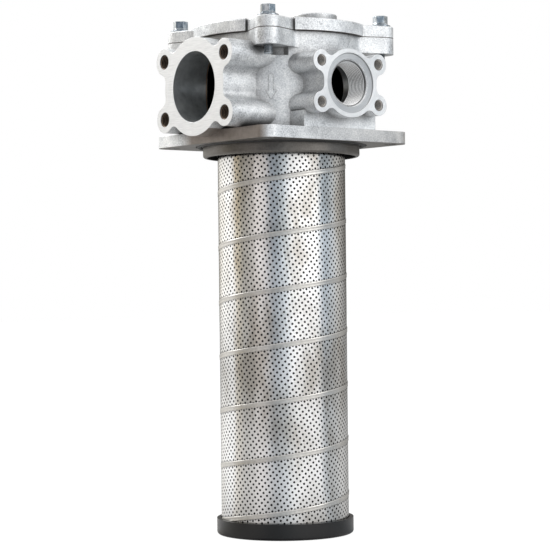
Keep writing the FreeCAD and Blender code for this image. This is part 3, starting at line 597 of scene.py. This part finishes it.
def one_bolt():
    """One flanged bolt on Z as a mesh: washer flange, chamfered hexagon, and threaded tip below the ear."""
    one = bmesh.new()
    revolved(one, [(r * MM, BOLT_SEAT + z * MM) for r, z in BOLT_FLANGE])
    corner = HEAD_FLATS / math.sqrt(3)
    ring = bmesh.ops.create_circle(one, segments=6, radius=corner, cap_ends=True)["verts"]
    bmesh.ops.translate(one, vec=(0, 0, BOLT_SEAT + HEX_FOOT), verts=ring)
    base = list({f for v in ring for f in v.link_faces})
    raised = bmesh.ops.extrude_face_region(one, geom=base, use_keep_orig=True)["geom"]
    lifted = [g for g in raised if isinstance(g, bmesh.types.BMVert)]
    bmesh.ops.translate(one, vec=(0, 0, HEAD_HEIGHT - HEX_FOOT), verts=lifted)
    crown = [g for g in raised if isinstance(g, bmesh.types.BMFace)]
    bmesh.ops.inset_region(one, faces=crown, thickness=CROWN_INSET, depth=0.0)
    bmesh.ops.translate(one, vec=(0, 0, -CROWN_DROP), verts=lifted)
    bmesh.ops.remove_doubles(one, verts=one.verts, dist=CUT_TOLERANCE)
    core = BOLT_RADIUS - TIP_CHAMFER
    thread_start = BOLT_TIP + TIP_CHAMFER
    shank_top = EAR_BOTTOM + SHANK_LAP
    revolved(one, ((0.0, BOLT_TIP), (TIP_RADIUS, BOLT_TIP), (core, thread_start), (core, shank_top),
                   (0.0, shank_top)), BOLT_STEPS)
    bmesh.ops.recalc_face_normals(one, faces=one.faces)
    thread = bmesh.new()
    thread_turns(thread, BOLT_RADIUS - THREAD_HEIGHT, BOLT_RADIUS, BOLT_PITCH, thread_start,
                 EAR_BOTTOM + THREAD_END_LAP, BOLT_STEPS)
    face_the_axis(thread, False)
    part = bpy.data.meshes.new("bolt_part")
    thread.to_mesh(part)
    thread.free()
    one.from_mesh(part)
    one.to_mesh(part)
    one.free()
    return part


def cover_bolts(material):
    """The four cover bolts, one in each ear, with their heads turned as in the photograph."""
    part = one_bolt()
    whole = bmesh.new()
    for k, head_turn in enumerate(BOLT_TURNS):
        before = len(whole.verts)
        whole.from_mesh(part)
        whole.verts.ensure_lookup_table()
        fresh = whole.verts[before:]
        own_turn = Matrix.Rotation(math.radians(head_turn), 3, "Z")
        to_ear = Matrix.Rotation(math.radians(45 + 90 * k), 3, "Z")
        bmesh.ops.rotate(whole, verts=fresh, cent=(0, 0, 0), matrix=own_turn)
        bmesh.ops.translate(whole, verts=fresh, vec=(BOLT_CIRCLE, 0, 0))
        bmesh.ops.rotate(whole, verts=fresh, cent=(0, 0, 0), matrix=to_ear)
    bpy.data.meshes.remove(part)
    piece = finish_piece("flanged_bolts", whole, material, smooth=32)
    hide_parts("cover_bolts")


def bypass_coil(material):
    """The bypass valve's spring, of round wire, wound in the CAD spring's place and height."""
    low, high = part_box("bypass_spring")
    wire = SPRING_WIRE / 2
    coil = bmesh.new()
    section = bmesh.ops.create_circle(coil, segments=SPRING_SIDES, radius=wire, cap_ends=True)["verts"]
    upright = Matrix.Rotation(math.pi / 2, 3, "X")
    bmesh.ops.rotate(coil, verts=section, cent=(0, 0, 0), matrix=upright)
    bmesh.ops.translate(coil, verts=section, vec=(high[0] - wire, 0, low[2] + wire))
    steps = int(SPRING_TURNS * SPRING_STEPS)
    rise = (high[2] - low[2] - SPRING_WIRE) / steps
    bmesh.ops.spin(coil, geom=coil.verts[:] + coil.edges[:] + coil.faces[:], cent=(0, 0, 0), axis=(0, 0, 1),
                   dvec=(0, 0, rise), angle=SPRING_TURNS * 2 * math.pi, steps=steps)
    bmesh.ops.recalc_face_normals(coil, faces=coil.faces)
    piece = finish_piece("bypass_coil", coil, material, smooth=50)
    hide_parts("bypass_spring")
    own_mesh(piece)


def dress_nodes(finishes):
    """Gives each node of the CAD model its finish."""
    for name, finish in finishes.items():
        for slot in nodes[name].material_slots:
            slot.material = finish


def place_camera():
    """The photograph's view: level, a long lens, and a slight roll."""
    lens = bpy.data.cameras.new("camera")
    lens.sensor_width = CAMERA_SENSOR
    lens.lens = CAMERA_LENS
    lens.shift_y = CAMERA_SHIFT
    lens.clip_end = 30.0
    camera = bpy.data.objects.new("camera", lens)
    bpy.context.scene.collection.objects.link(camera)
    right = Vector(CAMERA_RIGHT).normalized()
    back = Vector(CAMERA_BACK).normalized()
    up = back.cross(right).normalized()
    camera.matrix_world = Matrix((right, up, back)).transposed().to_4x4()
    camera.location = CAMERA_PLACE
    bpy.context.scene.camera = camera


def soft_light(name, place, size, power):
    """A square panel light that faces the head."""
    lamp = bpy.data.lights.new(name, "AREA")
    lamp.shape = "SQUARE"
    lamp.size = size
    lamp.energy = power
    held = bpy.data.objects.new(name, lamp)
    held.location = place
    held.rotation_euler = (-Vector(place)).to_track_quat("-Z", "Y").to_euler()
    bpy.context.scene.collection.objects.link(held)


def studio_bands(tree, toward):
    """White panels and grey gaps by compass direction, which give the sleeve its upright bands.

    Returns the bands' colour and the direction's height.
    """
    axes = add(tree, "ShaderNodeSeparateXYZ", Vector=toward)
    angle = add(tree, "ShaderNodeMath", operation="ARCTAN2", i0=axes.outputs["Y"], i1=axes.outputs["X"])
    turn = add(tree, "ShaderNodeMath", operation="MULTIPLY_ADD", i0=angle, i1=0.5 / math.pi, i2=0.5)
    bands = add(tree, "ShaderNodeValToRGB", Fac=turn, stops=(
        (0.03, "#d3cecc"), (0.065, "#bcbabb"), (0.09, "#79828c"), (0.125, "#949da6"), (0.155, "#c3ccd3"),
        (0.185, "#f6f8fa"), (0.21, "#ffffff"), (0.325, "#ffffff"), (0.352, "#a4b0bb"), (0.39, "#a0aab3"),
        (0.43, "#b4b9bd"), (0.47, "#b9b8b5"), (0.52, "#8c8b89"), (0.6, "#55534f"), (0.68, "#6f6c67"),
        (0.74, "#f2efe8"), (0.86, "#ffffff"), (0.893, "#c2b69f"), (0.93, "#8f8c84"), (0.975, "#a5a19c")))
    return bands, axes.outputs["Z"]


def light_the_stage():
    """A white studio with tall panels round it and a bright ceiling."""
    world = bpy.data.worlds.new("studio")
    bpy.context.scene.world = world
    world.use_nodes = True
    tree = world.node_tree
    tree.nodes.clear()
    bands, height = studio_bands(tree, add(tree, "ShaderNodeTexCoord").outputs["Generated"])
    # from 12 to 37 degrees up, the bands fade into an even ceiling
    lift = add(tree, "ShaderNodeMath", operation="MULTIPLY_ADD", use_clamp=True, i0=height, i1=2.5, i2=-0.5)
    sky = add(tree, "ShaderNodeMix", data_type="RGBA", i0=lift, i6=bands, i7="#dedede").outputs[2]
    # the camera sees plain white, and metal mirrors the panels, as the photograph's sleeve does
    studio = add(tree, "ShaderNodeBackground", Color=sky, Strength=STUDIO_STRENGTH)
    white = add(tree, "ShaderNodeBackground", Color="#ffffff", Strength=1.0)
    seen = add(tree, "ShaderNodeLightPath").outputs["Is Camera Ray"]
    both = add(tree, "ShaderNodeMixShader", i0=seen, i1=studio, i2=white)
    add(tree, "ShaderNodeOutputWorld", Surface=both)
    soft_light("key", place=(-0.5, 1.75, 1.4), size=1.4, power=30.0)
    soft_light("fill", place=(0.75, -2.1, 1.1), size=1.6, power=14.0)


def lay_floor():
    """White paper: bright to the camera, darker to the object, whose underside the photograph shows dark."""
    bm = bmesh.new()
    bmesh.ops.create_grid(bm, x_segments=1, y_segments=1, size=FLOOR_HALF)
    bmesh.ops.translate(bm, vec=(0, 0, cad_box[0][2] - FLOOR_GAP), verts=bm.verts)
    mesh = bpy.data.meshes.new("floor")
    bm.to_mesh(mesh)
    bm.free()
    floor = bpy.data.objects.new("floor", mesh)
    bpy.context.scene.collection.objects.link(floor)
    made = bpy.data.materials.new("white_paper_floor")
    made.use_nodes = True
    tree = made.node_tree
    tree.nodes.clear()
    seen = add(tree, "ShaderNodeLightPath").outputs["Is Camera Ray"]
    # painted reflection: the panels' tones are painted onto the paper for all but camera rays, and show again
    # in the sleeve's lower half
    bands = studio_bands(tree, add(tree, "ShaderNodeTexCoord").outputs["Object"])[0]
    painted_panel_tones = add(tree, "ShaderNodeMix", data_type="RGBA", i0=0.4, i6="#bcbcbc", i7=bands).outputs[2]
    tone = add(tree, "ShaderNodeMix", data_type="RGBA", i0=seen, i6=painted_panel_tones, i7="#bcbcbc").outputs[2]
    paper = add(tree, "ShaderNodeBsdfDiffuse", Color=tone)
    glow = add(tree, "ShaderNodeEmission", Color="#ffffff", Strength=1.2)
    # to the camera it is mostly glow, so that the background is white and a faint shadow stays
    share = add(tree, "ShaderNodeMath", operation="MULTIPLY", i0=seen, i1=0.78)
    both = add(tree, "ShaderNodeMixShader", i0=share, i1=paper, i2=glow)
    add(tree, "ShaderNodeOutputMaterial", Surface=both)
    mesh.materials.append(made)


def main():
    """Dresses the CAD nodes, adds what the solids leave out, and sets the stage."""
    bpy.context.scene.view_settings.view_transform = "Standard"
    place_camera()
    cast = cast_aluminium_finish()
    tinned = tinned_sheet_finish()
    zinc = zinc_finish()
    # dull black seals, which take no highlight
    rubber = moulded_finish("nitrile_rubber", "#0e0e0e", "#1b1b1b", rough=0.55, fine=500.0)
    # near-black caps with a soft sheen along their rims
    plastic = moulded_finish("black_nylon", "#030304", "#0b0b0c", rough=0.32, fine=420.0)
    fibre = media_finish()
    # plain grey steel of the valve and the bail, darker than the tinned sheet
    spring = moulded_finish("drawn_spring_steel", "#6d6d6e", "#97989a", rough=0.34, fine=600.0, metal=1.0)
    # the seam is duller than the sheet beside it, so its turns read as pale lines
    seam_tin = moulded_finish("rolled_tin_seam", "#b0ada8", "#dedcd8", rough=0.3, fine=300.0, metal=1.0)
    dress_nodes({
        "head_casting": cast,
        "cover": cast,
        "tank_seal": rubber,
        "cover_seal": rubber,
        "element_seal": rubber,
        "bypass_poppet_seal": rubber,
        "bottom_cap": plastic,
        "element_top_cap": plastic,
        "pleated_media": fibre,
        "inner_core": tinned,
        "element_handle": spring,
        "bypass_guide": spring,
        "bypass_poppet": spring,
        "spring_retainer": spring,
        "retainer_nut": zinc,
    })
    for piece in perforated_sleeve(tinned) + [sleeve_seam(seam_tin)]:
        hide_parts("outer_sleeve")
    # the side port's thread is clean, the inlet's screw holes are painted dark brown, the side's are worn
    # pale
    tapped_threads(bright=thread_finish("cut_thread", "#232426", "#ffffff"),
                   brown=thread_finish("dark_brown_thread", "#0c0a09", "#75675b"),
                   worn=thread_finish("worn_thread", "#2b2623", "#dcd6cf"))
    cover_bolts(zinc)
    bypass_coil(spring)
    light_the_stage()
    lay_floor()


main()
bpy.context.view_layer.update()
